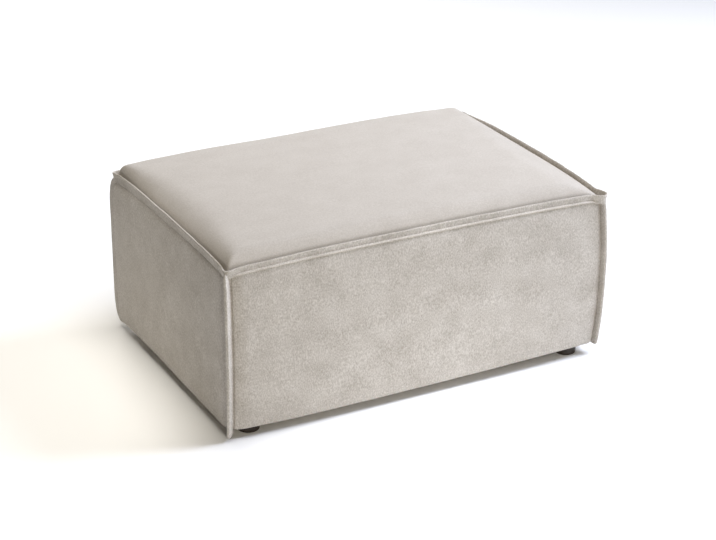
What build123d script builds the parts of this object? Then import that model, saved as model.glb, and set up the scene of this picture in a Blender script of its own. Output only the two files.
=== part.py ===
from build123d import *
import math
import os

# Upholstered box ottoman on four low round feet, with raised flange seams.
# Lengths are in millimetres and angles in degrees.
# X is the width, Y the depth with the front at -Y, and Z is up.
# The origin is on the floor, under the middle of the ottoman.

# Overall size, over the tips of the corner flanges
overall_width = 1000.0
overall_depth = 680.0
seam_height = 410.0
foot_height = 20.0

# Fabric cover
fabric_thickness = 2.0
side_bulge = 9.0
bottom_tuck = 3.0
hem_turn_under = 20.0
crown_rise = 62.0
shoulder_rise = 43.0
shoulder_width = 40.0
# Height and reach of the middle of a rounded shoulder, as shares of its rise and width
shoulder_middle_share = 0.72
mitre_depth = 100.0

# Raised flange seams
top_flange_height = 15.0
top_flange_thickness = 6.0
top_flange_lean = 18.0
corner_flange_height = 14.0
corner_flange_thickness = 9.0
corner_flange_overhang = 4.0
flange_root = 4.0

# Padding
wadding_thickness = 6.0
side_foam_thickness = 12.0
felt_thickness = 5.0

# Wooden frame
frame_height = 278.0
board_thickness = 3.0
rail_thickness = 22.0
rail_height = 70.0
post_width = 60.0
post_depth = 45.0
middle_post_width = 45.0
spring_travel = 30.0
dowel_radius = 4.0
dowel_end_cover = 4.0
# Dowels of a joint stand at these shares of the rail's height or the post's width
dowel_place_shares = (0.25, 0.75)

# Springs and what holds them
spring_count = 7
spring_wire_radius = 1.9
spring_width = 50.0
spring_bar_pitch = 24.0
spring_end_gap = 6.0
spring_seat = 6.0
tie_wire_radius = 1.25
tie_wire_clearance = 0.3
tie_wire_count = 2
tie_wire_overhang = 20.0
clip_steel = 1.2
clip_width = 20.0
clip_plate_length = 14.0
clip_clearance = 0.2
nail_radius = 1.25
nail_length = 20.0
nail_head_radius = 2.5
nail_head_height = 1.0
nail_setback = 9.0

# Underside
dust_cover_thickness = 1.0
dust_cover_inset = 4.0
staple_wire = 0.8
staple_width = 10.0
staple_leg = 10.0
staple_spacing = 80.0
staple_inset = 12.0

# Feet
foot_radius = 27.0
foot_taper = 1.0
foot_edge_radius = 1.5
foot_side_inset = 66.0
foot_front_inset = 45.0
screw_radius = 2.5
screw_length = 40.0
screw_head_radius = 5.0
screw_head_height = 3.5
screw_head_clearance = 1.5
counterbore_depth = 12.0

# Solids used as cutters run past what they cut by this much
overrun = 10.0

# The seam box: the cover panels meet along its edges
corner_reach = ((corner_flange_height - corner_flange_thickness / 2) * math.sqrt(0.5)
                + corner_flange_thickness / 2)
seam_x = overall_width / 2 - corner_reach
seam_y = overall_depth / 2 - corner_reach
hem_height = foot_height + dust_cover_thickness
crown_height = seam_height + crown_rise

# The frame stands inside the cover by the thickness of the padding
padding = fabric_thickness + wadding_thickness + side_foam_thickness
board_x = seam_x - padding
board_y = seam_y - padding
frame_x = board_x - board_thickness
frame_y = board_y - board_thickness
frame_bottom = hem_height + fabric_thickness
frame_top = frame_bottom + frame_height

# Springs lie in rings on the top rails, and the felt rests on the rings
ring_outer_radius = spring_wire_radius + clip_clearance + clip_steel
spring_level = frame_top + ring_outer_radius
spring_end_y = frame_y - rail_thickness + spring_seat
felt_bottom = spring_level + ring_outer_radius
felt_top = felt_bottom + felt_thickness

sides = (-1, 1)
parts = {}


def block(low, high):
    """A box between two opposite corners, given in any order."""
    size = [abs(b - a) for a, b in zip(low, high)]
    middle = [(a + b) / 2 for a, b in zip(low, high)]
    return Pos(*middle) * Box(*size)


def rod(centre, axis, radius, length):
    """A round rod about its own middle, along the given direction."""
    return Plane(origin=centre, z_dir=axis) * Cylinder(radius, length)


def cross_section(half_span, inset):
    """Upright outline of the padded body: tucked hem, bulged sides, round shoulders and crown."""
    edge = half_span - inset
    bulge_height = (hem_height + seam_height) / 2
    shoulder_x = half_span - shoulder_width
    roll_x = shoulder_x + (edge - shoulder_x) * shoulder_middle_share
    roll_rise = (shoulder_rise - inset) * shoulder_middle_share
    outline = []
    for side in sides:
        hem_point = (side * (edge - bottom_tuck), hem_height)
        seam_point = (side * edge, seam_height)
        shoulder_point = (side * shoulder_x, seam_height + shoulder_rise - inset)
        outline += [
            ThreePointArc(hem_point, (side * (edge + side_bulge), bulge_height), seam_point),
            ThreePointArc(seam_point, (side * roll_x, seam_height + roll_rise), shoulder_point),
        ]
    shoulder_height = seam_height + shoulder_rise - inset
    outline += [
        ThreePointArc((-shoulder_x, shoulder_height), (0, crown_height - inset),
                      (shoulder_x, shoulder_height)),
        Line((-(edge - bottom_tuck), hem_height), (edge - bottom_tuck, hem_height)),
    ]
    return make_face(outline)


def plan_outline(inset):
    """Outline from above: four gently bulged sides between sharp corners."""
    x, y = seam_x - inset, seam_y - inset
    return make_face([
        ThreePointArc((-x, -y), (0, -y - side_bulge), (x, -y)),
        ThreePointArc((x, -y), (x + side_bulge, 0), (x, y)),
        ThreePointArc((x, y), (0, y + side_bulge), (-x, y)),
        ThreePointArc((-x, y), (-x - side_bulge, 0), (-x, -y)),
    ])


def padded_body(inset):
    """The whole padded form, taken in by the inset on its sides and its top."""
    across = extrude(Plane.XZ * cross_section(seam_x, inset), amount=overall_depth, both=True)
    along = extrude(Plane.YZ * cross_section(seam_y, inset), amount=overall_width, both=True)
    upright = Pos(0, 0, hem_height) * extrude(plan_outline(inset), amount=crown_height)
    return across & along & upright


def between(low, high):
    """A slab that holds everything between two heights."""
    return block((-overall_width, -overall_depth, low), (overall_width, overall_depth, high))


def side_wedge(direction):
    """All that lies on one side of the mitre planes at the corners of the seam box."""
    if direction in ("front", "rear"):
        sign = -1 if direction == "front" else 1
        corners = [(-seam_x - overrun, seam_y + overrun), (seam_x + overrun, seam_y + overrun),
                   (seam_x - mitre_depth, seam_y - mitre_depth),
                   (-seam_x + mitre_depth, seam_y - mitre_depth)]
        corners = [(x, sign * y) for x, y in corners]
    else:
        sign = -1 if direction == "left" else 1
        corners = [(seam_x + overrun, -seam_y - overrun), (seam_x + overrun, seam_y + overrun),
                   (seam_x - mitre_depth, seam_y - mitre_depth),
                   (seam_x - mitre_depth, -seam_y + mitre_depth)]
        corners = [(sign * x, y) for x, y in corners]
    return extrude(make_face(Polyline(*corners, close=True)), amount=crown_height + overrun)


def cover_panels(body):
    """Four side panels that turn in under the frame, and the crowned top panel."""
    hollow = padded_body(fabric_thickness) & between(frame_bottom, crown_height)
    opening = block((-frame_x + hem_turn_under, -frame_y + hem_turn_under, foot_height),
                    (frame_x - hem_turn_under, frame_y - hem_turn_under, frame_bottom))
    shell = body - hollow - opening
    lower = shell & between(foot_height, seam_height)
    parts["top_cover"] = shell & between(seam_height, crown_height + overrun)
    for direction in ("front", "rear", "left", "right"):
        parts[direction + "_cover"] = lower & side_wedge(direction)


def flange_bar(start, end, outward, height, thickness):
    """A flat bar with a round rim, standing out of a seam from start to end."""
    run = Vector(*end) - Vector(*start)
    straight = flange_root + height - thickness / 2
    section = (Pos(straight / 2 - flange_root, 0) * Rectangle(straight, thickness)
               + Pos(height - thickness / 2, 0) * Circle(thickness / 2))
    section_plane = Plane(origin=start, x_dir=outward, z_dir=run)
    return extrude(section_plane * section, amount=run.length)


def flanges(body):
    """Raised flanges along the four top seams and the four corner seams."""
    lean = math.radians(top_flange_lean)
    top_reach_x = seam_x + overrun
    top_reach_y = seam_y + overrun
    top_runs = {
        "front": ((-top_reach_x, -seam_y), (top_reach_x, -seam_y), (0, -1)),
        "rear": ((-top_reach_x, seam_y), (top_reach_x, seam_y), (0, 1)),
        "left": ((-seam_x, -top_reach_y), (-seam_x, top_reach_y), (-1, 0)),
        "right": ((seam_x, -top_reach_y), (seam_x, top_reach_y), (1, 0)),
    }
    top_flanges = []
    for direction, (start, end, away) in top_runs.items():
        outward = (away[0] * math.sin(lean), away[1] * math.sin(lean), math.cos(lean))
        bar = flange_bar((*start, seam_height), (*end, seam_height), outward,
                         top_flange_height, top_flange_thickness)
        flange = (bar & side_wedge(direction)) - body
        parts[direction + "_top_flange"] = flange
        top_flanges.append(flange)
    low_end = hem_height - corner_flange_overhang
    high_end = seam_height + top_flange_height * math.cos(lean)
    half_flange = top_flange_thickness / 2
    for side_y, depth_name in ((-1, "front"), (1, "rear")):
        for side_x, width_name in ((-1, "left"), (1, "right")):
            corner = (side_x * seam_x, side_y * seam_y)
            bar = flange_bar((*corner, low_end), (*corner, high_end), (side_x, side_y, 0),
                             corner_flange_height, corner_flange_thickness)
            under_body = block((-seam_x, -seam_y, low_end), (seam_x, seam_y, hem_height))
            over_seam = block((-seam_x - half_flange, -seam_y - half_flange, seam_height),
                              (seam_x + half_flange, seam_y + half_flange, high_end))
            flange = bar - body - under_body - over_seam
            for top_flange in top_flanges:
                flange = flange - top_flange
            parts[f"{depth_name}_{width_name}_corner_flange"] = flange


def padding_pieces():
    """Fibre wadding under the cover, foam on the sides and the crowned seat foam."""
    inside_cover = padded_body(fabric_thickness) & between(frame_bottom, crown_height)
    inside_wadding = padded_body(fabric_thickness + wadding_thickness)
    parts["fibre_wadding"] = inside_cover - inside_wadding
    parts["seat_foam"] = inside_wadding & between(felt_top, crown_height)
    frame_space = block((-board_x, -board_y, frame_bottom), (board_x, board_y, felt_top))
    sleeve = (inside_wadding & between(frame_bottom, felt_top)) - frame_space
    for side, front_or_rear, left_or_right in ((-1, "front", "left"), (1, "rear", "right")):
        slab = block((-overall_width, side * board_y, foot_height),
                     (overall_width, side * overall_depth, felt_top))
        parts[front_or_rear + "_side_foam"] = sleeve & slab
        slab = block((side * board_x, -board_y, foot_height),
                     (side * overall_width, board_y, felt_top))
        parts[left_or_right + "_side_foam"] = sleeve & slab
    parts["spring_felt"] = block((-board_x, -board_y, felt_bottom), (board_x, board_y, felt_top))


def frame_pieces():
    """Rails, posts and side boards, before their dowel holes."""
    wood = {}
    inner_x, inner_y = frame_x - post_width, frame_y - post_depth
    levels = {"bottom": frame_bottom, "top": frame_top - rail_height}
    for level, low in levels.items():
        high = low + rail_height
        for side, name in ((-1, "front"), (1, "rear")):
            wood[f"{name}_{level}_rail"] = block(
                (-inner_x, side * frame_y, low), (inner_x, side * (frame_y - rail_thickness), high))
        for side, name in ((-1, "left"), (1, "right")):
            wood[f"{name}_{level}_rail"] = block(
                (side * frame_x, -inner_y, low), (side * (frame_x - rail_thickness), inner_y, high))
        centre_high = high if level == "bottom" else high - spring_travel
        span = frame_y - rail_thickness
        wood[f"{level}_centre_rail"] = block((-rail_thickness / 2, -span, low),
                                             (rail_thickness / 2, span, centre_high))
    for side_y, depth_name in ((-1, "front"), (1, "rear")):
        wood[f"{depth_name}_middle_post"] = block(
            (-middle_post_width / 2, side_y * frame_y, frame_bottom + rail_height),
            (middle_post_width / 2, side_y * (frame_y - rail_thickness), frame_top - rail_height))
        for side_x, width_name in ((-1, "left"), (1, "right")):
            wood[f"{depth_name}_{width_name}_post"] = block(
                (side_x * frame_x, side_y * frame_y, frame_bottom),
                (side_x * inner_x, side_y * inner_y, frame_top))
    return wood


def frame_dowels():
    """Two dowels in each joint of the frame, half in each of the joined pieces."""
    length = 2 * (rail_thickness - dowel_end_cover)
    dowels = []
    rail_lows = (frame_bottom, frame_top - rail_height)
    for share in dowel_place_shares:
        for low in rail_lows:
            z = low + rail_height * share
            for side_x in sides:
                for side_y in sides:
                    end_x = side_x * (frame_x - post_width)
                    end_y = side_y * (frame_y - post_depth)
                    dowels.append(rod((end_x, side_y * (frame_y - rail_thickness / 2), z),
                                      (1, 0, 0), dowel_radius, length))
                    dowels.append(rod((side_x * (frame_x - rail_thickness / 2), end_y, z),
                                      (0, 1, 0), dowel_radius, length))
        centre_heights = (frame_bottom + rail_height * share,
                          frame_top - rail_height + (rail_height - spring_travel) * share)
        for side_y in sides:
            for z in centre_heights:
                dowels.append(rod((0, side_y * (frame_y - rail_thickness), z),
                                  (0, 1, 0), dowel_radius, length))
            x = middle_post_width * share - middle_post_width / 2
            for z in (frame_bottom + rail_height, frame_top - rail_height):
                dowels.append(rod((x, side_y * (frame_y - rail_thickness / 2), z),
                                  (0, 0, 1), dowel_radius, length))
    return dowels


def side_boards():
    """Thin boards that close the four sides of the frame."""
    for side, front_or_rear, left_or_right in ((-1, "front", "left"), (1, "rear", "right")):
        parts[front_or_rear + "_side_board"] = block(
            (-board_x, side * frame_y, frame_bottom), (board_x, side * board_y, frame_top))
        parts[left_or_right + "_side_board"] = block(
            (side * frame_x, -frame_y, frame_bottom), (side * board_x, frame_y, frame_top))


def spring_places():
    """Places of the springs across the width, between the corner posts."""
    reach = frame_x - post_width - spring_end_gap - spring_width / 2
    return [-reach + 2 * reach * i / (spring_count - 1) for i in range(spring_count)]


def zigzag_spring(x):
    """One flat zigzag spring from the front clip to the rear clip, bent from one wire."""
    gaps = 2 * round(spring_end_y / spring_bar_pitch)
    pitch = 2 * spring_end_y / gaps
    bend_radius = pitch / 2
    bar_reach = spring_width / 2 - bend_radius
    path = []
    for i in range(gaps + 1):
        y = -spring_end_y + pitch * i
        side = 1 if i % 2 == 0 else -1
        path.append(Line((-side * bar_reach, y), (side * bar_reach, y)))
        if i < gaps:
            middle = (side * (bar_reach + bend_radius), y + bend_radius)
            quarter = bend_radius * math.sqrt(0.5)
            near = (side * (bar_reach + quarter), y + bend_radius - quarter)
            far = (side * (bar_reach + quarter), y + bend_radius + quarter)
            path.append(ThreePointArc((side * bar_reach, y), near, middle))
            path.append(ThreePointArc(middle, far, (side * bar_reach, y + pitch)))
    route = Pos(x, 0, spring_level) * Wire(path)
    section_plane = Plane(origin=route @ 0, z_dir=route % 0)
    return sweep(section_plane * Circle(spring_wire_radius), path=route)


def clip(x, side):
    """A steel ring round the spring's end bar, with a plate that is nailed to the rail."""
    bar_y = side * spring_end_y
    ring = rod((x, bar_y, spring_level), (1, 0, 0), ring_outer_radius, clip_width)
    plate = block((x - clip_width / 2, bar_y, frame_top),
                  (x + clip_width / 2, bar_y + side * clip_plate_length, frame_top + clip_steel))
    bore = rod((x, bar_y, spring_level), (1, 0, 0),
               spring_wire_radius + clip_clearance, clip_width + overrun)
    hole = rod((x, bar_y + side * nail_setback, frame_top), (0, 0, 1), nail_radius, overrun)
    return ring + plate - bore - hole


def clip_nail(x, side):
    """The nail that holds one clip."""
    place = (x, side * (spring_end_y + nail_setback))
    plate_top = frame_top + clip_steel
    shank = rod((*place, plate_top - nail_length / 2), (0, 0, 1), nail_radius, nail_length)
    head = rod((*place, plate_top + nail_head_height / 2), (0, 0, 1),
               nail_head_radius, nail_head_height)
    return shank + head


def suspension():
    """Springs, tie wires across them, clips and nails."""
    places = spring_places()
    for number, x in enumerate(places, start=1):
        parts[f"zigzag_spring_{number}"] = zigzag_spring(x)
    ends = [(x, side) for x in places for side in sides]
    parts["spring_clips"] = Compound([clip(*end) for end in ends])
    nails = [clip_nail(*end) for end in ends]
    parts["clip_nails"] = Compound(nails)
    wire_level = spring_level - spring_wire_radius - tie_wire_clearance - tie_wire_radius
    wire_length = 2 * (places[-1] + tie_wire_overhang)
    step = 2 * spring_end_y / (tie_wire_count + 1)
    wires = [rod((0, -spring_end_y + step * (i + 1), wire_level), (1, 0, 0),
                 tie_wire_radius, wire_length) for i in range(tie_wire_count)]
    parts["tie_wires"] = Compound(wires)
    return nails


def foot_places():
    """Centres of the four feet, with the names of their corners."""
    x, y = overall_width / 2 - foot_side_inset, overall_depth / 2 - foot_front_inset
    return {f"{depth_name}_{width_name}": (side_x * x, side_y * y)
            for side_y, depth_name in ((-1, "front"), (1, "rear"))
            for side_x, width_name in ((-1, "left"), (1, "right"))}


def foot(place):
    """A low tapered disc with a counterbored screw hole."""
    disc = Cone(foot_radius - foot_taper, foot_radius, foot_height)
    lower_edge = disc.edges().filter_by(GeomType.CIRCLE).sort_by(Axis.Z)[0]
    disc = Pos(0, 0, foot_height / 2) * fillet(lower_edge, foot_edge_radius)
    counterbore = rod((0, 0, counterbore_depth / 2), (0, 0, 1),
                      screw_head_radius + screw_head_clearance, counterbore_depth)
    hole = rod((0, 0, foot_height / 2), (0, 0, 1), screw_radius, foot_height + overrun)
    return Pos(*place, 0) * (disc - counterbore - hole)


def foot_screw(place):
    """A flat-headed screw that seats on the floor of the counterbore."""
    head = rod((*place, counterbore_depth - screw_head_height / 2), (0, 0, 1),
               screw_head_radius, screw_head_height)
    shank = rod((*place, counterbore_depth + screw_length / 2), (0, 0, 1),
                screw_radius, screw_length)
    return head + shank


def staple(x, y, along_x):
    """A wire staple driven upwards through the dust cover and the hem into a rail."""
    reach = staple_width / 2
    half_wire = staple_wire / 2
    crown_low = foot_height - staple_wire
    crown = block((-reach, -half_wire, crown_low), (reach, half_wire, foot_height))
    legs = [block((side * reach, -half_wire, crown_low),
                  (side * (reach - staple_wire), half_wire, foot_height + staple_leg))
            for side in sides]
    turn = 0 if along_x else 90
    return Pos(x, y, 0) * Rot(0, 0, turn) * (crown + legs[0] + legs[1])


def staple_row(length):
    """Even places along a rail, spaced by about the staple spacing."""
    gaps = max(1, round(length / staple_spacing))
    return [-length / 2 + length * i / gaps for i in range(gaps + 1)]


def hem_staples():
    """Staples along the four bottom rails."""
    staples = []
    for side in sides:
        for x in staple_row(2 * (frame_x - post_width - staple_width)):
            staples.append(staple(x, side * (frame_y - staple_inset), True))
        for y in staple_row(2 * (frame_y - post_depth - staple_width)):
            staples.append(staple(side * (frame_x - staple_inset), y, False))
    return staples


def near_to(piece, cutters):
    """The cutters whose boxes reach into the box of the piece."""
    box = piece.bounding_box()
    found = []
    for cutter in cutters:
        other = cutter.bounding_box()
        apart = any(low > high or other_high < own_low for low, high, other_high, own_low in (
            (other.min.X, box.max.X, other.max.X, box.min.X),
            (other.min.Y, box.max.Y, other.max.Y, box.min.Y),
            (other.min.Z, box.max.Z, other.max.Z, box.min.Z)))
        if not apart:
            found.append(cutter)
    return found


def drilled(piece, cutters):
    """The piece with a close hole for each fastener that enters it."""
    for cutter in near_to(piece, cutters):
        piece = piece - cutter
    return piece


def build():
    """Make every piece and write one file for each."""
    body = padded_body(0)
    cover_panels(body)
    flanges(body)
    padding_pieces()
    nails = suspension()
    side_boards()

    places = foot_places()
    for name, place in places.items():
        parts[name + "_foot"] = foot(place)
    screws = [foot_screw(place) for place in places.values()]
    staples = hem_staples()
    dowels = frame_dowels()
    parts["foot_screws"] = Compound(screws)
    parts["hem_staples"] = Compound(staples)
    parts["frame_dowels"] = Compound(dowels)

    parts["dust_cover"] = block(
        (-frame_x + dust_cover_inset, -frame_y + dust_cover_inset, foot_height),
        (frame_x - dust_cover_inset, frame_y - dust_cover_inset, hem_height))
    driven = screws + staples
    for name in ("dust_cover", "front_cover", "rear_cover", "left_cover", "right_cover"):
        parts[name] = drilled(parts[name], driven)
    for name, piece in frame_pieces().items():
        parts[name] = drilled(piece, dowels + nails + driven)

    os.makedirs("parts", exist_ok=True)
    for name, shape in parts.items():
        export_step(shape, f"parts/{name}.step")
    print(len(parts), "pieces written")


build()
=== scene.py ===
import math

import bmesh
import bpy
import numpy as np
from mathutils import Matrix, Vector


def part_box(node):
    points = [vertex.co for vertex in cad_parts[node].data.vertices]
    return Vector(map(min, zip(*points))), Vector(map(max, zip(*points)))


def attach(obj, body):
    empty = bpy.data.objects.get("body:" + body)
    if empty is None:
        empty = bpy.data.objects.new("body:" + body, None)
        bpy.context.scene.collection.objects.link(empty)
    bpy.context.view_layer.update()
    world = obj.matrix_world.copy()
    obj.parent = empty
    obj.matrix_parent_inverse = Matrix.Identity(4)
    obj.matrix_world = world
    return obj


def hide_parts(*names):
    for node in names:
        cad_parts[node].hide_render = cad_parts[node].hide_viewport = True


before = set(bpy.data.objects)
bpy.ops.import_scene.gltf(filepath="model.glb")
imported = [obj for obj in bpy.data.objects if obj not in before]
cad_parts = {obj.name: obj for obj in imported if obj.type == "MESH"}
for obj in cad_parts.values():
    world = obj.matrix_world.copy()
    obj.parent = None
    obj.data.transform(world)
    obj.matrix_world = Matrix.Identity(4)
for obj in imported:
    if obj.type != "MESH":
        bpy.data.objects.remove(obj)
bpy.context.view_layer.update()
mm = 0.001

# The seam box and the other places that the frame gives
topLow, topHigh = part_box("top_cover")
dustLow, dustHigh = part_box("dust_cover")
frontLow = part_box("front_cover")[0]
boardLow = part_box("front_side_board")[0]
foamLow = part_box("seat_foam")[0]
seam = {
    "x": topHigh.x,                          # half width between the corner seams
    "y": topHigh.y,
    "z": topLow.z,                           # height of the top seams
    "hem": frontLow.z,                       # lower edge of the side panels
}
padDepth = seam["y"] + boardLow.y            # cover, wadding and foam, out to the boards
hemOverlap = 16 * mm                         # the hem turned in under the dust cover's edge
lipReach = seam["y"] + dustLow.y + hemOverlap


# Rise of a padded border over its width: 1 - (1 - distance / width)^power, so 0 on the
# seam and 1 from the width on
def roll(distance, width, power=2):
    return 1 - np.clip(1 - distance / width, 0, 1) ** power


# Distance from two seams that meet in a corner, with the corner rounded to a radius
def cornerDistance(one, other, radius):
    inside = radius - np.hypot(np.maximum(radius - one, 0), np.maximum(radius - other, 0))
    return np.where((one < radius) & (other < radius), inside, np.minimum(one, other))


# A raised band beside a seam: sin^2(pi (distance - start) / width), so 0 at both edges of
# the band and 1 in its middle
def band(distance, start, width):
    return np.sin(np.pi * np.clip((distance - start) / width, 0, 1)) ** 2


# Uneven cloth: a sum of sines along a length, their phases and strengths from the seed
def ripple(length, wave, seed, count=5, shortest=0.55, growth=0.35, spread=0.1, weakest=0.5):
    chance = np.random.default_rng(seed)
    total = np.zeros_like(length)
    for step in range(count):
        stretch = wave * (shortest + growth * step) * chance.uniform(1 - spread, 1 + spread)
        total = total + chance.uniform(weakest, 1) * np.sin(
            2 * np.pi * length / stretch + chance.uniform(0, 2 * np.pi))
    return total / count


# Uneven padding: a sum of plane waves in random directions over an area
def undulation(x, y, wave, seed, count=9, shortest=0.6, longest=1.6):
    chance = np.random.default_rng(seed)
    total = np.zeros_like(x)
    for step in range(count):
        turn = chance.uniform(0, np.pi)
        stretch = wave * chance.uniform(shortest, longest)
        along = x * np.cos(turn) + y * np.sin(turn)
        total = total + np.sin(2 * np.pi * along / stretch + chance.uniform(0, 2 * np.pi))
    return total / count


# Stations from -half to half: steps grow from fine beside the ends to coarse in the middle
def stations(half, fine, coarse, growth=1.16):
    steps = [fine]
    while sum(steps) < half:
        steps.append(min(steps[-1] * growth, coarse))
    reached = np.concatenate([[0], np.cumsum(steps)])
    reached = reached * half / reached[-1]
    return np.concatenate([reached - half, (half - reached[:-1])[::-1]])


# A grid of points, rows by columns, as a mesh of quads; across joins the last column to
# the first, around joins the last row to the first, and ends closes the open rows
def gridMesh(name, points, across=False, around=False, ends=False):
    rows, columns = points.shape[:2]
    number = np.arange(rows * columns).reshape(rows, columns)
    if across:
        number = np.concatenate([number, number[:, :1]], axis=1)
    if around:
        number = np.concatenate([number, number[:1]], axis=0)
    quads = np.stack([number[:-1, :-1], number[:-1, 1:], number[1:, 1:], number[1:, :-1]],
                     axis=-1).reshape(-1, 4).tolist()
    if ends:
        quads.append(number[0, :columns].tolist())
        quads.append(number[-1, :columns][::-1].tolist())
    mesh = bpy.data.meshes.new(name)
    mesh.from_pydata(points.reshape(-1, 3).tolist(), [], quads)
    return finishMesh(name, mesh)


# Vertex numbers of a grid of points, and those round its rim in order
def gridNumbers(rows, columns):
    number = np.arange(rows * columns).reshape(rows, columns)
    rim = np.concatenate([number[:, 0], number[-1, 1:], number[-2::-1, -1], number[0, -2:0:-1]])
    return number, rim


def gridQuads(number):
    return np.stack([number[:-1, :-1], number[1:, :-1], number[1:, 1:], number[:-1, 1:]],
                    axis=-1).reshape(-1, 4)


# A band of quads between two rings with as many vertices each
def ringQuads(upper, lower):
    return np.stack([upper, lower, np.roll(lower, -1), np.roll(upper, -1)], axis=-1)


# Faces turned outwards by the sign of the enclosed volume, then smooth shading
def finishMesh(name, mesh, angle=50):
    mesh.calc_loop_triangles()
    corner = np.zeros(len(mesh.loop_triangles) * 3, np.int32)
    mesh.loop_triangles.foreach_get("vertices", corner)
    place = np.zeros(len(mesh.vertices) * 3)
    mesh.vertices.foreach_get("co", place)
    a, b, c = place.reshape(-1, 3)[corner.reshape(-1, 3)].transpose(1, 0, 2)
    if np.einsum("ij,ij->i", a, np.cross(b, c)).sum() < 0:
        mesh.flip_normals()
    mesh.polygons.foreach_set("use_smooth", np.ones(len(mesh.polygons), bool))
    mesh.set_sharp_from_angle(angle=math.radians(angle))
    piece = bpy.data.objects.new(name, mesh)
    bpy.context.scene.collection.objects.link(piece)
    return piece


# What the padding does to the straight seam box: the top seams arch up between their
# corners, the hem hangs lower between its corners, and the corner seams bow outwards
ease = {
    # The padding carries the left and the right covers this far out
    "spreadLeft": 6.0 * mm, "spreadRight": 4.0 * mm,
    "topArch": 9.0 * mm, "rightArch": 15.0 * mm, "archPower": 3,
    "hemDrop": 7.0 * mm, "dropPower": 1.3,
    "hemLift": 6.5 * mm, "leftLift": 10.0 * mm, "frontLift": 7.5 * mm,
    "sidePower": 6,                          # how close to a side its own arch or lift keeps
    "hemFadeFrom": 3 * mm, "hemFadeTo": 18 * mm,
    # Outward bow along X and Y at half height, and how flat its top is
    "bow": {(-1, -1): (1.5 * mm, 9.0 * mm, 2.6), (1, -1): (7.5 * mm, 9.0 * mm, 2.3),
            (-1, 1): (8.0 * mm, 8.0 * mm, 9.0), (1, 1): (7.0 * mm, 8.0 * mm, 3.0)},
}


# With x and y as plan shares, s as the height share and arch = 1 - |x y|^power:
# up by arch x topArch x s, with rightArch on the right;
# down near the hem by (arch x (hemDrop x slack - taut) - lift) x (1 - s), where slack is 1 at
# the front left corner and 0 on the right and the rear, taut belongs to the left and the
# front, and lift grows towards the front right corner;
# out by x x spread, and by the sum over the corners of weight x bow x (1 - |2 s - 1|^power)
def softened(points):
    e = ease
    x, y, z = np.moveaxis(points, -1, 0)
    planX, planY = np.clip(x / seam["x"], -1, 1), np.clip(y / seam["y"], -1, 1)
    share = np.clip((z - seam["hem"]) / (seam["z"] - seam["hem"]), 0, 1)
    arch = 1 - np.abs(planX * planY) ** e["archPower"]
    depth = np.minimum(seam["x"] - np.abs(x), seam["y"] - np.abs(y))
    outer = np.clip((e["hemFadeTo"] - depth) / (e["hemFadeTo"] - e["hemFadeFrom"]), 0, 1)
    outer = outer * outer * (3 - 2 * outer)
    toRight, toLeft, toFront = (np.clip(v, 0, 1) for v in (planX, -planX, -planY))
    archRise = e["topArch"] + (e["rightArch"] - e["topArch"]) * toRight ** e["sidePower"]
    away = np.maximum(planX, planY)
    slack = 1 - ((1 + away) / 2) ** e["dropPower"]
    lift = e["hemLift"] * toRight ** 2 * toFront
    taut = e["leftLift"] * toLeft ** e["sidePower"] + e["frontLift"] * toFront ** e["sidePower"]
    drop = arch * (e["hemDrop"] * slack - taut) - lift
    rise = arch * archRise * share - drop * (1 - share) * outer
    shiftX = planX * np.where(planX < 0, e["spreadLeft"], e["spreadRight"])
    shiftY = np.zeros_like(y)
    for (sideX, sideY), (bowX, bowY, power) in e["bow"].items():
        weight = (1 + sideX * planX) * (1 + sideY * planY) / 4
        bow = weight * (1 - np.abs(2 * share - 1) ** power)
        shiftX, shiftY = shiftX + sideX * bowX * bow, shiftY + sideY * bowY * bow
    return np.stack([x + shiftX, y + shiftY, z + rise], axis=-1)


# Row-frame place of a side's own point: along the side, inwards depth from its seam, height
def onSide(side, along, depth, height):
    face = seam["y"] if side in ("front", "rear") else seam["x"]
    out = face - depth
    x, y = {"front": (along, -out), "right": (out, along),
            "rear": (-along, out), "left": (-out, -along)}[side]
    return np.stack([x, y, height + 0 * x], axis=-1)


def halfLength(side):
    return seam["x"] if side in ("front", "rear") else seam["y"]


# Side panels over foam: a bulged face with a raised border beside the flanges, a rounded
# hem and a lip turned in under the rails, closed at the back along the boards
sidePanel = {
    # Width of the roll at each side's two ends, counted anticlockwise seen from above
    "endWidths": {"front": (46 * mm, 20 * mm), "right": (28 * mm, 34 * mm),
                  "rear": (34 * mm, 28 * mm), "left": (20 * mm, 40 * mm)},
    "bulge": 6.0 * mm, "bulgePower": 2.2,
    "sink": 8.0 * mm, "sinkHeight": 22 * mm,
    "crease": 7.0 * mm, "creaseWidth": 15 * mm,
    "topWidth": 26 * mm, "topPower": 2.0,
    "topSinks": {"front": 0 * mm, "right": 2 * mm, "rear": 2 * mm, "left": 6 * mm},
    "topSinkWidth": 20 * mm,
    "belly": 3.0 * mm,
    # The filling settles low in the panel: how far, and between which height shares
    "sags": {"front": 10 * mm, "right": 5 * mm, "rear": 5 * mm, "left": 0 * mm},
    "sagLow": 0.1, "sagHigh": 0.55, "sagPower": 1.4, "sagEndPower": 4,
    "beads": {"front": 5.5 * mm, "right": 3.5 * mm, "rear": 3.5 * mm, "left": 0.8 * mm},
    "beadWidth": 7 * mm,
    "cornerRadius": 11 * mm, "calmEdge": 40 * mm,
    "hemRadius": 4 * mm, "hemSteps": 9, "underSteps": 7,
    "lipThickness": 1.7 * mm,
    "backDrop": 10 * mm,                     # the top slopes down behind the flange
    "uneven": 0.7 * mm, "unevenWave": 190 * mm,
    "fine": 1.1 * mm, "coarse": 9 * mm,
    "clearance": 0.3 * mm,
    "firstSeed": 11,
}


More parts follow.
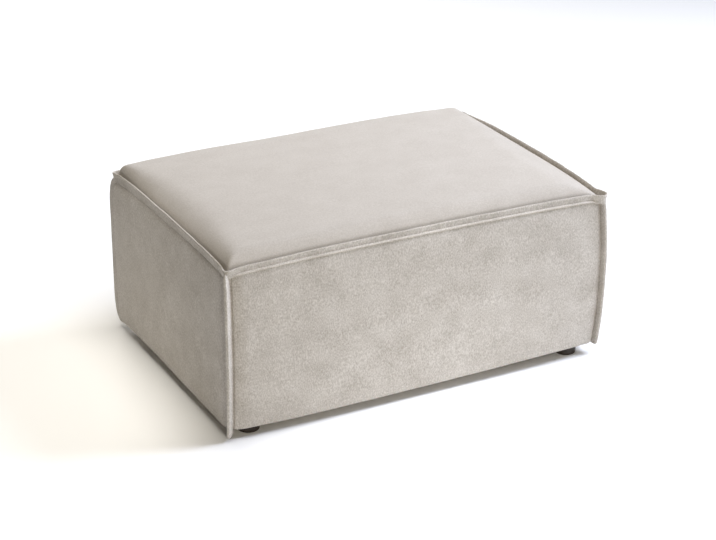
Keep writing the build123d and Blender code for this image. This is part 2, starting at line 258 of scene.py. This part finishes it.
# Outward reach of a side panel's face at a place along the side and a height: bulge x roll
# from the corner seams x roll from the top seam, plus belly and sag, less the sink and the
# crease beside the corner seams and the sink under the top seam, plus a bead that follows
# the flanges round the panel's corners, plus unevenness
def panelReach(side, along, height, seed):
    p = sidePanel
    half = halfLength(side)
    fromCorner = half - np.abs(along)
    fromTop = seam["z"] - height
    fromHem = height - seam["hem"]
    edge = cornerDistance(fromCorner, fromTop, p["cornerRadius"])
    sideRoll = roll(fromCorner, np.where(along < 0, *p["endWidths"][side]), p["bulgePower"])
    topRoll = roll(fromTop, p["topWidth"], p["topPower"])
    sink = p["sink"] * (1 - sideRoll) + p["crease"] * (1 - roll(fromCorner, p["creaseWidth"]))
    sink = sink * roll(fromTop, p["sinkHeight"])
    sink = sink + p["topSinks"][side] * (1 - roll(fromTop, p["topSinkWidth"]))
    share = fromHem / (seam["z"] - seam["hem"])
    belly = (1 - (along / half) ** 2) * (1 - (2 * share - 1) ** 2)
    swell = np.clip((p["sagHigh"] - share) / (p["sagHigh"] - p["sagLow"]), 0, 1)
    sag = p["sags"][side] * swell ** p["sagPower"] * (1 - (along / half) ** p["sagEndPower"])
    free = np.clip(edge / p["calmEdge"], 0, 1)
    return (p["bulge"] * sideRoll * topRoll + p["belly"] * belly + sag - sink
            + p["beads"][side] * band(edge, 0, p["beadWidth"])
            + p["uneven"] * free * undulation(along, height, p["unevenWave"], seed))


# The face's columns go on round the hem, in under the rails, and up behind to the flange
def sidePad(side, seed):
    p = sidePanel
    half = halfLength(side)
    along = stations(half, p["fine"], p["coarse"])
    top, low = seam["z"] - p["clearance"], seam["hem"] + p["hemRadius"]
    heights = stations((top - low) / 2, p["fine"], p["coarse"])[::-1] + (top + low) / 2
    place, height = np.meshgrid(along, heights, indexing="ij")
    reach = panelReach(side, place, height, seed)
    turn = np.linspace(0, np.pi / 2, p["hemSteps"])[1:]
    start = reach[:, -1:]
    hemDepth = -start + p["hemRadius"] * (1 - np.cos(turn))
    hemHeight = low - p["hemRadius"] * np.sin(turn) + 0 * start
    back = padDepth - p["clearance"]
    lipTop = seam["hem"] + p["lipThickness"]
    underShare = np.linspace(0, 1, p["underSteps"])[1:]
    underDepth = hemDepth[:, -1:] + (back - hemDepth[:, -1:]) * underShare
    underHeight = seam["hem"] + 0 * underDepth
    rest = np.array([(lipReach, seam["hem"]), (lipReach, lipTop), (back, lipTop),
                     (back, top - p["backDrop"])])
    restDepth, restHeight = (rest[:, part] + 0 * start for part in (0, 1))
    depth = np.concatenate([-reach, hemDepth, underDepth, restDepth], axis=1)
    height = np.concatenate([height, hemHeight, underHeight, restHeight], axis=1)
    run = place[:, :1] / half * (half - np.maximum(depth, 0))
    points = softened(onSide(side, run, depth, height))
    return gridMesh(side + "_panel_pad", points, across=True, ends=True)


# Seat pad: height = rolls from the four seams x rise + crown, over a sunk foam block
seatPad = {
    "rollRise": 36 * mm,
    "crown": 17 * mm,
    "frontWidth": 42 * mm, "frontPower": 2.8,
    "rearWidth": 28.5 * mm, "rearPower": 3.5,
    # Side rolls at the front corner, in the middle and at the rear corner
    "leftWidth": (55 * mm, 100 * mm, 26 * mm), "leftPower": (3.3, 2.6, 3.2),
    "rightWidth": (105 * mm, 110 * mm, 60 * mm), "rightPower": (1.9, 1.9, 3.2),
    "shoulder": 0.18, "shoulderWidth": 15 * mm,   # the left roll starts steeply
    "fullness": 4,                           # more makes the corners fuller
    # A narrow gap beside each flange: its depth on the left, right, front and rear
    "gapDepths": (12 * mm, 3 * mm, 9 * mm, 6 * mm), "gapFloor": 5.0 * mm, "gapWall": 2.5 * mm,
    # Swells and hollows of the filling: plan shares of the place and the radii, and height
    "plumped": [(-0.18, 0.6, 0.26, 0.6, -3.6 * mm), (0.6, 0.6, 0.25, 0.6, 2.4 * mm)],
    "uneven": 0.8 * mm, "unevenWave": 240 * mm,
    "pucker": 0.9 * mm, "puckerWave": 95 * mm, "puckerReach": 60 * mm,
    "fine": 0.5 * mm, "coarse": 9 * mm,
    "clearance": 0.6 * mm,
    "puckerSeed": 31, "unevenSeed": 32,
}


# Quadratic through three values at shares -1, 0 and 1
def threePoint(values, share):
    first, middle, last = values
    return (middle * (1 - share ** 2) + first * (share ** 2 - share) / 2
            + last * (share ** 2 + share) / 2)


# Height of the seat: 1 less the power mean of the four rolls' falls, the crown, plumped
# places and unevenness, less the gaps beside the flanges
def seatHeight(x, y):
    p = seatPad
    left, right = x + seam["x"], seam["x"] - x
    front, rear = y + seam["y"], seam["y"] - y
    planX, planY = x / seam["x"], y / seam["y"]
    leftRoll = roll(left, threePoint(p["leftWidth"], planY), threePoint(p["leftPower"], planY))
    leftRoll = leftRoll + p["shoulder"] * (roll(left, p["shoulderWidth"]) - leftRoll)
    rightRoll = roll(right, threePoint(p["rightWidth"], planY),
                     threePoint(p["rightPower"], planY))
    frontRoll = roll(front, p["frontWidth"], p["frontPower"])
    rearRoll = roll(rear, p["rearWidth"], p["rearPower"])
    fall = sum((1 - part) ** p["fullness"]
               for part in (leftRoll, rightRoll, frontRoll, rearRoll))
    rise = 1 - np.minimum(fall ** (1 / p["fullness"]), 1)
    crown = p["crown"] * (1 - planX ** 2) * (1 - planY ** 2)
    for placeX, placeY, radiusX, radiusY, height in p["plumped"]:
        crown = crown + height * rise * np.exp(-((planX - placeX) / radiusX) ** 2
                                               - ((planY - placeY) / radiusY) ** 2)
    edge = np.minimum(np.minimum(left, right), np.minimum(front, rear))
    near = band(edge, 0, p["puckerReach"])
    across = np.where(np.minimum(left, right) < np.minimum(front, rear), y, x)
    pucker = near * ripple(across, p["puckerWave"], p["puckerSeed"])
    free = np.clip(edge / p["puckerReach"], 0, 1)
    sink = np.zeros_like(x)
    for depth, distance in zip(p["gapDepths"], (left, right, front, rear)):
        sink = np.maximum(sink, depth * (1 - roll(distance - p["gapFloor"], p["gapWall"])))
    return (seam["z"] + p["rollRise"] * rise + crown + p["pucker"] * pucker - sink
            + p["uneven"] * free * undulation(x, y, p["unevenWave"], p["unevenSeed"]))


# Top grid, then a skirt: in under the rim to the foam block, down it, and a flat bottom
def seat():
    p = seatPad
    xs = stations(seam["x"], p["fine"], p["coarse"])
    ys = stations(seam["y"], p["fine"], p["coarse"])
    x, y = np.meshgrid(xs, ys, indexing="ij")
    z = seatHeight(x, y)
    top = np.stack([x, y, z], axis=-1).reshape(-1, 3)
    number, rim = gridNumbers(*x.shape)
    inset = 1 - (padDepth + p["clearance"]) / np.array([seam["x"], seam["y"]])
    shelf = top[rim] * np.array([*inset, 1.0])
    base = shelf.copy()
    base[:, 2] = foamLow.z
    points = np.concatenate([top, shelf, base, [[0, 0, foamLow.z]]])
    shelfNumber = len(top) + np.arange(len(rim))
    baseNumber = shelfNumber + len(rim)
    centre = np.full(len(rim), len(points) - 1)
    faces = gridQuads(number).tolist()
    faces += ringQuads(rim, shelfNumber).tolist()
    faces += ringQuads(shelfNumber, baseNumber).tolist()
    faces += np.stack([baseNumber, centre, np.roll(baseNumber, -1)], axis=-1).tolist()
    mesh = bpy.data.meshes.new("seat_pad")
    mesh.from_pydata(softened(points).tolist(), [], faces)
    return finishMesh("seat_pad", mesh)


# Raised flanges: two plies turned out of a seam, a flat strip with a round rim
flange = {
    "thickness": 5.0 * mm, "root": 9 * mm,
    "heights": {(-1, -1): 11 * mm, (1, -1): 14 * mm, (1, 1): 15 * mm, (-1, 1): 16 * mm},
    "leans": (0, 0, 20, 6),                  # degrees outwards: front, right, rear and left
    "cornerRadius": 3.5 * mm, "cornerReach": 34 * mm,
    "pushes": {(-1, -1): 4 * mm, (1, -1): 15 * mm, (1, 1): 6 * mm, (-1, 1): 6 * mm},
    "pushAtSeam": 0.75,                      # share of the push that is left at the seam
    "sway": 1.0 * mm, "swayWave": 120 * mm,
    "dip": 0.7 * mm, "dipWave": 150 * mm, "calmEdge": 60 * mm,
    "step": 5 * mm,
    # The strips are joined into one skin and smoothed where they meet
    "voxel": 1.9 * mm, "smoothing": 2, "smoothFactor": 0.5, "sharpAngle": 80,
    "swaySeed": 41, "dipSeed": 42,
}
cornerFlange = {
    "reach": 14 * mm, "thickness": 8.4 * mm, "root": 12 * mm, "squareness": 0.5,
    # Degrees that each strip turns from the diagonal, anticlockwise seen from above
    "turns": {(-1, -1): 0, (1, -1): -40, (-1, 1): -40, (1, 1): 30},
    # How far the ends hang below the hem, by corner
    "overhang": {(-1, -1): 13 * mm, (1, -1): 4 * mm, (-1, 1): 5 * mm, (1, 1): 4 * mm},
    "lowRound": 6 * mm, "highRound": 18 * mm, "endReachShare": 0.45, "endWidthShare": 0.4,
    "sway": 0.9 * mm, "swayWave": 130 * mm,
    "step": 4 * mm, "endSteps": 7,
    "firstSeed": 61,
}


# Outline of a strip's section: out along one face, half a circle over the rim, and back;
# a squareness under 1 flattens the half circle by raising its sine and cosine to it.
# First column is the way out of the seam, second the way across the thickness
def stripSection(root, height, thickness, squareness=1.0, faceCount=9, rimCount=13):
    half = thickness / 2
    face = np.linspace(-root, height - half, faceCount)
    turn = np.linspace(np.pi / 2, -np.pi / 2, rimCount)[1:-1]
    rim = np.stack([height - half + half * np.cos(turn) ** squareness,
                    half * np.sign(np.sin(turn)) * np.abs(np.sin(turn)) ** squareness], axis=-1)
    there = np.stack([face, 0 * face + half], axis=-1)
    home = np.stack([face[::-1], 0 * face - half], axis=-1)
    return np.concatenate([there, rim, home])


# Path round the seam box with rounded corners: points and their outward directions
def seamPath(radius, step, arcSteps=9):
    points, outward = [], []
    x, y = seam["x"] - radius, seam["y"] - radius
    sides = [((-x, -y), (x, -y), -90), ((x, -y), (x, y), 0), ((x, y), (-x, y), 90),
             ((-x, y), (-x, -y), 180)]
    for start, end, angle in sides:
        start, end = np.array(start), np.array(end)
        count = max(2, round(np.linalg.norm(end - start) / step))
        normal = np.array([math.cos(math.radians(angle)), math.sin(math.radians(angle))])
        share = np.linspace(0, 1, count + 1)[:, None]
        points.append(start + (end - start) * share + normal * radius)
        outward.append(np.repeat(normal[None], count + 1, axis=0))
        turn = np.radians(angle + np.linspace(0, 90, arcSteps)[1:-1])
        arc = np.stack([np.cos(turn), np.sin(turn)], axis=-1)
        points.append(end + arc * radius)
        outward.append(arc)
    return np.concatenate(points), np.concatenate(outward)


# A value that changes evenly between those given for the four corners
def betweenCorners(values, x, y):
    planX, planY = x / seam["x"], y / seam["y"]
    return sum(value * (1 + sideX * planX) * (1 + sideY * planY) / 4
               for (sideX, sideY), value in values.items())


# The ring of the four top flanges: section carried round the seam, leaning outwards, pushed
# out at the corners by cos^2 over the corner's reach, and swaying in its free edge
def topFlange():
    f = flange
    path, outward = seamPath(f["cornerRadius"], f["step"])
    tallest = max(f["heights"].values())
    section = stripSection(f["root"], tallest, f["thickness"])
    length = np.concatenate([[0], np.cumsum(np.linalg.norm(np.diff(path, axis=0), axis=1))])
    # Each side has its own lean, which changes evenly to the next side's round a corner
    facing = np.degrees(np.arctan2(outward[:, 1], outward[:, 0])) % 360
    lean = np.interp(facing, [0, 90, 180, 270, 360], np.array(f["leans"])[[1, 2, 3, 0, 1]])
    lean = np.radians(lean)[:, None]
    share = np.clip(section[:, 0] / tallest, 0, 1)[None]
    shorter = tallest - betweenCorners(f["heights"], path[:, :1], path[:, 1:])
    reach = section[:, 0] - shorter * share
    rise = reach * np.cos(lean) - section[:, 1] * np.sin(lean)
    out = reach * np.sin(lean) + section[:, 1] * np.cos(lean)
    toCorner = np.hypot(seam["x"] - np.abs(path[:, :1]), seam["y"] - np.abs(path[:, 1:]))
    calm = np.clip(toCorner / f["calmEdge"], 0, 1)
    near = np.cos(np.pi / 2 * np.clip(toCorner / f["cornerReach"], 0, 1)) ** 2
    push = betweenCorners(f["pushes"], path[:, :1], path[:, 1:]) * near
    out = out + push * (f["pushAtSeam"] + (1 - f["pushAtSeam"]) * share)
    out = out + f["sway"] * share * calm * ripple(length, f["swayWave"], f["swaySeed"])[:, None]
    rise = rise + f["dip"] * share * calm * ripple(length, f["dipWave"], f["dipSeed"])[:, None]
    points = np.concatenate([path[:, None] + outward[:, None] * out[..., None],
                             seam["z"] + rise[..., None]], axis=-1)
    return gridMesh("top_flange_seam", softened(points), across=True, around=True)


# One corner flange: section carried up the corner, standing out near the diagonal, with
# rounded ends: the reach shrinks by a quarter circle over the last stretch at both ends
def cornerSeam(sideX, sideY, seed):
    c = cornerFlange
    low = seam["hem"] - c["overhang"][(sideX, sideY)]
    high = seam["z"] + flange["thickness"] / 2
    count = round((high - low) / c["step"])
    inner = np.linspace(low + c["lowRound"], high - c["highRound"], count)
    arc = np.linspace(0, np.pi / 2, c["endSteps"])
    bottom = low + c["lowRound"] * (1 - np.sin(arc))[::-1][:-1]
    top = high - c["highRound"] * (1 - np.sin(arc))[1:]
    height = np.concatenate([bottom, inner, top])
    near = np.concatenate([np.cos(arc)[::-1][:-1], np.ones(count), np.cos(arc)[1:]])[:, None]
    section = stripSection(c["root"], c["reach"], c["thickness"], c["squareness"])
    share = np.clip(section[:, 0] / c["reach"], 0, 1)[None]
    out = section[:, 0] * (c["endReachShare"] + (1 - c["endReachShare"]) * near)
    across = section[:, 1] * (c["endWidthShare"] + (1 - c["endWidthShare"]) * near)
    across = across + c["sway"] * share * ripple(height, c["swayWave"], seed)[:, None]
    facing = math.atan2(sideY, sideX) + math.radians(c["turns"][(sideX, sideY)])
    forward = np.array([math.cos(facing), math.sin(facing)])
    sideways = np.array([-forward[1], forward[0]])
    start = np.array([sideX * seam["x"], sideY * seam["y"]])
    flat = start + out[..., None] * forward + across[..., None] * sideways
    level = np.repeat(height[:, None], section.shape[0], axis=1)
    points = np.concatenate([flat, level[..., None]], axis=-1)
    return gridMesh("corner_flange_seam", softened(points), across=True, ends=True)


# All flanges as one skin: strips joined, remeshed by voxels and smoothed
def flangeSeams():
    f = flange
    strips = [topFlange()]
    for seed, (sideX, sideY) in enumerate(f["heights"], start=cornerFlange["firstSeed"]):
        strips.append(cornerSeam(sideX, sideY, seed))
    joined = bmesh.new()
    for strip in strips:
        joined.from_mesh(strip.data)
        bpy.data.objects.remove(strip)
    mesh = bpy.data.meshes.new("flange_seams")
    joined.to_mesh(mesh)
    joined.free()
    rough = bpy.data.objects.new("rough_flanges", mesh)
    bpy.context.scene.collection.objects.link(rough)
    remesh = rough.modifiers.new("remesh", "REMESH")
    remesh.mode = "VOXEL"
    remesh.voxel_size = f["voxel"]
    smooth = rough.modifiers.new("smooth", "SMOOTH")
    smooth.factor = f["smoothFactor"]
    smooth.iterations = f["smoothing"]
    evaluated = rough.evaluated_get(bpy.context.evaluated_depsgraph_get())
    skin = bpy.data.meshes.new_from_object(evaluated)
    bpy.data.objects.remove(rough)
    return finishMesh("flange_seams", skin, angle=f["sharpAngle"])


# Dust cover: thin cloth stapled to the rails. It sags between them by a roll from its calm
# edge, made uneven by a share
dustCloth = {
    "thickness": 0.8 * mm,
    "gap": 0.05 * mm,                        # below the top of the CAD cloth
    "sag": 1.4 * mm, "sagReach": 120 * mm, "sagPower": 1.6, "calmEdge": 60 * mm,
    "leastSag": 0.8, "uneven": 0.4, "unevenWave": 170 * mm, "seed": 51,
    "step": 9 * mm,
}


def dustCover():
    d = dustCloth
    half = np.array([dustHigh.x, dustHigh.y])
    xs = np.linspace(-half[0], half[0], round(2 * half[0] / d["step"]))
    ys = np.linspace(-half[1], half[1], round(2 * half[1] / d["step"]))
    x, y = np.meshgrid(xs, ys, indexing="ij")
    edge = np.minimum(half[0] - np.abs(x), half[1] - np.abs(y))
    drop = d["sag"] * roll(np.maximum(edge - d["calmEdge"], 0), d["sagReach"], d["sagPower"])
    drop = drop * (d["leastSag"] + d["uneven"] * undulation(x, y, d["unevenWave"], d["seed"]))
    upper = np.stack([x, y, dustHigh.z - d["gap"] - drop], axis=-1).reshape(-1, 3)
    lower = upper - np.array([0, 0, d["thickness"]])
    number, rim = gridNumbers(*x.shape)
    quads = gridQuads(number)
    faces = np.concatenate([quads, quads[:, ::-1] + len(upper), ringQuads(rim, rim + len(upper))])
    mesh = bpy.data.meshes.new("dust_cover_cloth")
    mesh.from_pydata(np.concatenate([upper, lower]).tolist(), [], faces.tolist())
    return finishMesh("dust_cover_cloth", mesh)


# sRGB hex to linear
def linear(code):
    channels = [int(code[i:i + 2], 16) / 255 for i in (1, 3, 5)]
    return (*[c / 12.92 if c <= 0.04045 else ((c + 0.055) / 1.055) ** 2.4 for c in channels], 1)


# A node with its settings and its links; an input is given by name or by number
def addNode(tree, kind, settings=(), inputs=()):
    node = tree.nodes.new(kind)
    for name, value in dict(settings).items():
        setattr(node, name, value)
    for name, value in dict(inputs).items():
        if isinstance(value, bpy.types.NodeSocket):
            tree.links.new(value, node.inputs[name])
        else:
            node.inputs[name].default_value = value
    return node


def blankMaterial(name):
    material = bpy.data.materials.new(name)
    material.use_nodes = True
    material.node_tree.nodes.clear()
    return material, material.node_tree


def ramp(tree, factor, stops):
    node = addNode(tree, "ShaderNodeValToRGB", {}, {0: factor})
    elements = node.color_ramp.elements
    while len(elements) < len(stops):
        elements.new(0.5)
    for element, (position, code) in zip(elements, stops):
        element.position = position
        element.color = linear(code)
    return node.outputs["Color"]


def surface(tree, colour, settings, normal=None):
    inputs = {"Base Color": colour, **settings}
    if normal is not None:
        inputs["Normal"] = normal
    shader = addNode(tree, "ShaderNodeBsdfPrincipled", {}, inputs)
    addNode(tree, "ShaderNodeOutputMaterial", {}, {"Surface": shader.outputs[0]})
    return shader


def objectPlace(tree):
    return addNode(tree, "ShaderNodeTexCoord").outputs["Object"]


def scaled(tree, place, scale):
    return addNode(tree, "ShaderNodeMapping", {}, {"Vector": place, "Scale": scale}).outputs[0]


# Noise with patches about as wide as size
def noise(tree, place, size, detail, **more):
    return addNode(tree, "ShaderNodeTexNoise", {},
                   {"Vector": place, "Scale": 1 / size, "Detail": detail, **more}).outputs[0]


def multiplyAdd(tree, value, factor, added):
    return addNode(tree, "ShaderNodeMath", {"operation": "MULTIPLY_ADD"},
                   {0: value, 1: factor, 2: added}).outputs[0]


def relief(tree, height, strength, depth):
    return addNode(tree, "ShaderNodeBump", {},
                   {"Strength": strength, "Distance": depth, "Height": height}).outputs[0]


# Brushed chenille-like polyester velour: woven, then brushed, so it is matt with a soft
# sheen at the edges, and mottled where the nap lies unevenly, less so where it is sat on
velour = {
    # Shade, middle and bright colour, and the size of the mottling along X, Y and Z
    "sides": (("#a29b92", "#b9b3ac", "#cfcac4"), (2.6 * mm, 2.6 * mm, 4.6 * mm)),
    "seat": (("#b1aaa3", "#b9b3ac", "#c1bbb5"), (3.4 * mm, 4.2 * mm, 3 * mm)),
    "colourStops": (0.34, 0.5, 0.66),
    "cloudSize": 60 * mm, "cloudShare": 0.25,
    "threadSize": 1.1 * mm,                  # usual threads of 0.4 mm are too fine to show
    "threadRelief": 0.5, "relief": 0.35, "reliefDepth": 0.5 * mm,
    "roughness": 0.92, "sheen": 0.35, "sheenRoughness": 0.45, "sheenTint": "#fff8ee",
    "ior": 1.45, "specular": 0.25,
}


# Upholstery fabric as it lies on the sides or on the seat: the nap's mottling with broad
# clouds in its colour, and the nap with threads in its relief
def velourMaterial(name, part):
    v = velour
    colours, mottling = v[part]
    material, tree = blankMaterial(name)
    place = objectPlace(tree)
    drawn = scaled(tree, place, tuple(1 / size for size in mottling))
    nap = noise(tree, drawn, 1.0, 3.0, Roughness=0.6)
    cloud = noise(tree, place, v["cloudSize"], 2.0)
    thread = noise(tree, place, v["threadSize"], 1.0)
    napPart = multiplyAdd(tree, nap, 1 - v["cloudShare"], 0.0)
    mixed = multiplyAdd(tree, cloud, v["cloudShare"], napPart)
    colour = ramp(tree, mixed, list(zip(v["colourStops"], colours)))
    height = multiplyAdd(tree, thread, v["threadRelief"], nap)
    surface(tree, colour, {"Roughness": v["roughness"], "Sheen Weight": v["sheen"],
                           "Sheen Roughness": v["sheenRoughness"],
                           "Sheen Tint": linear(v["sheenTint"]), "IOR": v["ior"],
                           "Specular IOR Level": v["specular"]},
            relief(tree, height, v["relief"], v["reliefDepth"]))
    return material


# Spun-bonded polypropylene: dark and matt, with faintly mottled fibres
def dustClothMaterial():
    material, tree = blankMaterial("spunbonded polypropylene")
    fibres = noise(tree, objectPlace(tree), 6 * mm, 5.0)
    colour = ramp(tree, fibres, [(0.35, "#1b1b1c"), (0.65, "#2c2c2e")])
    surface(tree, colour, {"Roughness": 0.85}, relief(tree, fibres, 0.3, 0.3 * mm))
    return material


# Injection-moulded polypropylene: even, with a fine spark-eroded grain and soft gloss
def mouldedPlastic():
    material, tree = blankMaterial("moulded polypropylene")
    grain = noise(tree, objectPlace(tree), 0.8 * mm, 2.0)
    colour = ramp(tree, grain, [(0.3, "#2a231c"), (0.7, "#3a3028")])
    surface(tree, colour, {"Roughness": 0.48, "IOR": 1.49}, relief(tree, grain, 0.25, 0.1 * mm))
    return material


# Sawn softwood or hardwood: rings stretched along the grain, darker late wood
def woodMaterial(name, pale, dark, ringWidth, along, stretch=22):
    material, tree = blankMaterial(name)
    scale = [1 / ringWidth] * 3
    scale["xyz".index(along)] = 1 / (ringWidth * stretch)
    rings = noise(tree, scaled(tree, objectPlace(tree), tuple(scale)), 1.0, 4.0, Distortion=0.8)
    colour = ramp(tree, rings, [(0.35, dark), (0.6, pale)])
    surface(tree, colour, {"Roughness": 0.7, "IOR": 1.5}, relief(tree, rings, 0.2, 0.3 * mm))
    return material


# A matt porous or fibrous filling, mottled at the size of its cells or fibres
def fillingMaterial(name, pale, dark, cell, roughness=0.95):
    material, tree = blankMaterial(name)
    cells = noise(tree, objectPlace(tree), cell, 4.0)
    colour = ramp(tree, cells, [(0.35, dark), (0.65, pale)])
    surface(tree, colour, {"Roughness": roughness}, relief(tree, cells, 0.5, cell / 4))
    return material


# Drawn or plated steel: metallic and faintly mottled
def steelMaterial(name, pale, dark, roughness):
    material, tree = blankMaterial(name)
    marks = noise(tree, objectPlace(tree), 1.5 * mm, 3.0)
    colour = ramp(tree, marks, [(0.3, dark), (0.7, pale)])
    surface(tree, colour, {"Metallic": 1.0, "Roughness": roughness})
    return material


def dress(piece, material):
    piece.data.materials.clear()
    piece.data.materials.append(material)


def dressNodes(material, names):
    for name in names:
        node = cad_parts[name]
        node.data.materials.clear()
        node.data.materials.append(material)


# Pieces
print("stage: pads")
sideVelour = velourMaterial("brushed velour sides", "sides")
topVelour = velourMaterial("brushed velour seat", "seat")
seatPiece = seat()
dress(seatPiece, topVelour)
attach(seatPiece, "root")
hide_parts("top_cover", "fibre_wadding", "seat_foam")
for seed, side in enumerate(("front", "right", "rear", "left"), start=sidePanel["firstSeed"]):
    pad = sidePad(side, seed)
    dress(pad, sideVelour)
    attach(pad, "root")
    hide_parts(side + "_cover", side + "_side_foam")

print("stage: flanges")
corners = [f"{depth}_{width}" for depth in ("front", "rear") for width in ("left", "right")]
seams = flangeSeams()
dress(seams, sideVelour)
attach(seams, "root")
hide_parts(*[side + "_top_flange" for side in ("front", "rear", "left", "right")],
            *[corner + "_corner_flange" for corner in corners])

print("stage: underside")
cloth = dustCover()
dress(cloth, dustClothMaterial())
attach(cloth, "root")
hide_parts("dust_cover")

print("stage: carried-over parts")
pine = {"pale": "#e2c79a", "dark": "#c39a62", "ringWidth": 3 * mm}
dressNodes(mouldedPlastic(), [corner + "_foot" for corner in corners])
pineAcross = woodMaterial("sawn pine across", **pine, along="x")
pineDeep = woodMaterial("sawn pine deep", **pine, along="y")
pineUpright = woodMaterial("sawn pine upright", **pine, along="z")
dressNodes(pineAcross, [f"{side}_{level}_rail" for side in ("front", "rear")
                                for level in ("top", "bottom")])
dressNodes(pineDeep, [f"{side}_{level}_rail" for side in ("left", "right")
                              for level in ("top", "bottom")]
           + ["top_centre_rail", "bottom_centre_rail"])
dressNodes(pineUpright, [corner + "_post" for corner in corners]
           + ["front_middle_post", "rear_middle_post"])
dressNodes(woodMaterial("turned beech", "#d9b48a", "#c0946a", 1.5 * mm, "x"),
           ["frame_dowels"])
dressNodes(fillingMaterial("hardboard", "#7a5a3c", "#5f4530", 2 * mm, 0.8),
           [side + "_side_board" for side in ("front", "rear", "left", "right")])
dressNodes(fillingMaterial("needled felt", "#8c8a86", "#5c5a58", 3 * mm), ["spring_felt"])
springSteel = steelMaterial("oil-tempered spring steel", "#5a5c60", "#3c3e42", 0.35)
dressNodes(springSteel,
           [f"zigzag_spring_{number}" for number in range(1, 8)] + ["tie_wires"])
platedSteel = steelMaterial("zinc-plated steel", "#c9ccd0", "#a8acb2", 0.3)
dressNodes(platedSteel,
           ["spring_clips", "clip_nails", "hem_staples", "foot_screws"])

print("stage: camera and light")

# Camera: place, aim and focal length as fitted to corners of the seam box in the
# photograph, in degrees, millimetres for the lens and the sensor, and metres
camera = {
    "azimuth": -27.96, "elevation": 23.98, "roll": 0.33, "lens": 96.08, "sensor": 36,
    "distance": 4.72872, "aimRight": 0.004896, "aimUp": -0.026928, "aimHeight": 0.221,
}


def makeCamera():
    c = camera
    azimuth, elevation, tilt = (math.radians(c[k]) for k in ("azimuth", "elevation", "roll"))
    back = Vector((math.sin(azimuth) * math.cos(elevation),
                   -math.cos(azimuth) * math.cos(elevation), math.sin(elevation)))
    right = Vector((math.cos(azimuth), math.sin(azimuth), 0))
    up = back.cross(right)
    turnedRight = right * math.cos(tilt) + up * math.sin(tilt)
    turnedUp = up * math.cos(tilt) - right * math.sin(tilt)
    data = bpy.data.cameras.new("camera")
    data.lens = c["lens"]
    data.sensor_width = c["sensor"]
    piece = bpy.data.objects.new("camera", data)
    bpy.context.scene.collection.objects.link(piece)
    place = (Vector((0, 0, c["aimHeight"])) + turnedRight * c["aimRight"]
             + turnedUp * c["aimUp"] + back * c["distance"])
    turn = Matrix((turnedRight, turnedUp, back)).transposed().to_4x4()
    piece.matrix_world = Matrix.Translation(place) @ turn
    bpy.context.scene.camera = piece


# Plain pale floor and round softboxes; the strongest stand to the right and overhead
studio = {
    "floorSize": 30.0, "floor": "#ffffff",
    "distance": 4.2, "aimHeight": 0.25, "lampSize": 2.2,
    # Degrees from the front towards the right, degrees up, watts, and tint
    "lamps": {
        "right_light": (75, 40, 222, (0.80, 0.86, 1.0)),
        "top_light": (0, 90, 93, (1.0, 0.95, 0.87)),
        "front_light": (-15, 18, 43, (1.0, 0.91, 0.72)),
        "rear_light": (180, 18, 76, (1.0, 0.975, 0.92)),
    },
    # Spots straight down on the floor, which throw light up at the panels behind it:
    # the place on the floor, watts, and tint
    "spots": {
        "front_floor_spot": (0.05, -0.92, 150, (0.94, 0.97, 1.0)),
        "left_floor_spot": (-1.06, 0.1, 88, (1.0, 0.97, 0.9)),
    },
    "spotHeight": 2.6, "spotCone": 32, "spotBlend": 0.6, "spotRadius": 0.1,
}


# A lamp stands away from the middle of the ottoman by the studio's distance, facing it
def softLight(name, azimuth, elevation, power, tint):
    s = studio
    azimuth, elevation = math.radians(azimuth), math.radians(elevation)
    away = Vector((math.sin(azimuth) * math.cos(elevation),
                   -math.cos(azimuth) * math.cos(elevation), math.sin(elevation)))
    data = bpy.data.lights.new(name, "AREA")
    data.shape = "DISK"
    data.size = s["lampSize"]
    data.energy = power
    data.color = tint
    lamp = bpy.data.objects.new(name, data)
    lamp.location = away * s["distance"] + Vector((0, 0, s["aimHeight"]))
    lamp.rotation_mode = "QUATERNION"
    lamp.rotation_quaternion = away.to_track_quat("Z", "Y")
    bpy.context.scene.collection.objects.link(lamp)


# A spot hangs over its place on the floor and shines straight down
def floorSpot(name, x, y, power, tint):
    s = studio
    data = bpy.data.lights.new(name, "SPOT")
    data.energy = power
    data.color = tint
    data.spot_size = math.radians(s["spotCone"])
    data.spot_blend = s["spotBlend"]
    data.shadow_soft_size = s["spotRadius"]
    lamp = bpy.data.objects.new(name, data)
    lamp.location = (x, y, s["spotHeight"])
    bpy.context.scene.collection.objects.link(lamp)


def makeStudio():
    s = studio
    half = s["floorSize"] / 2
    mesh = bpy.data.meshes.new("studio_floor")
    mesh.from_pydata([(-half, -half, 0), (half, -half, 0), (half, half, 0), (-half, half, 0)], [],
                     [(0, 1, 2, 3)])
    floor = bpy.data.objects.new("studio_floor", mesh)
    bpy.context.scene.collection.objects.link(floor)
    material, tree = blankMaterial("matt white paint")
    surface(tree, linear(s["floor"]), {"Roughness": 0.9, "Specular IOR Level": 0.1})
    floor.data.materials.append(material)
    for name, lamp in s["lamps"].items():
        softLight(name, *lamp)
    for name, spot in s["spots"].items():
        floorSpot(name, *spot)
    world = bpy.data.worlds.new("studio")
    world.use_nodes = True
    world.node_tree.nodes["Background"].inputs["Strength"].default_value = 0.0
    bpy.context.scene.world = world
    bpy.context.scene.view_settings.view_transform = "Standard"


makeCamera()
makeStudio()
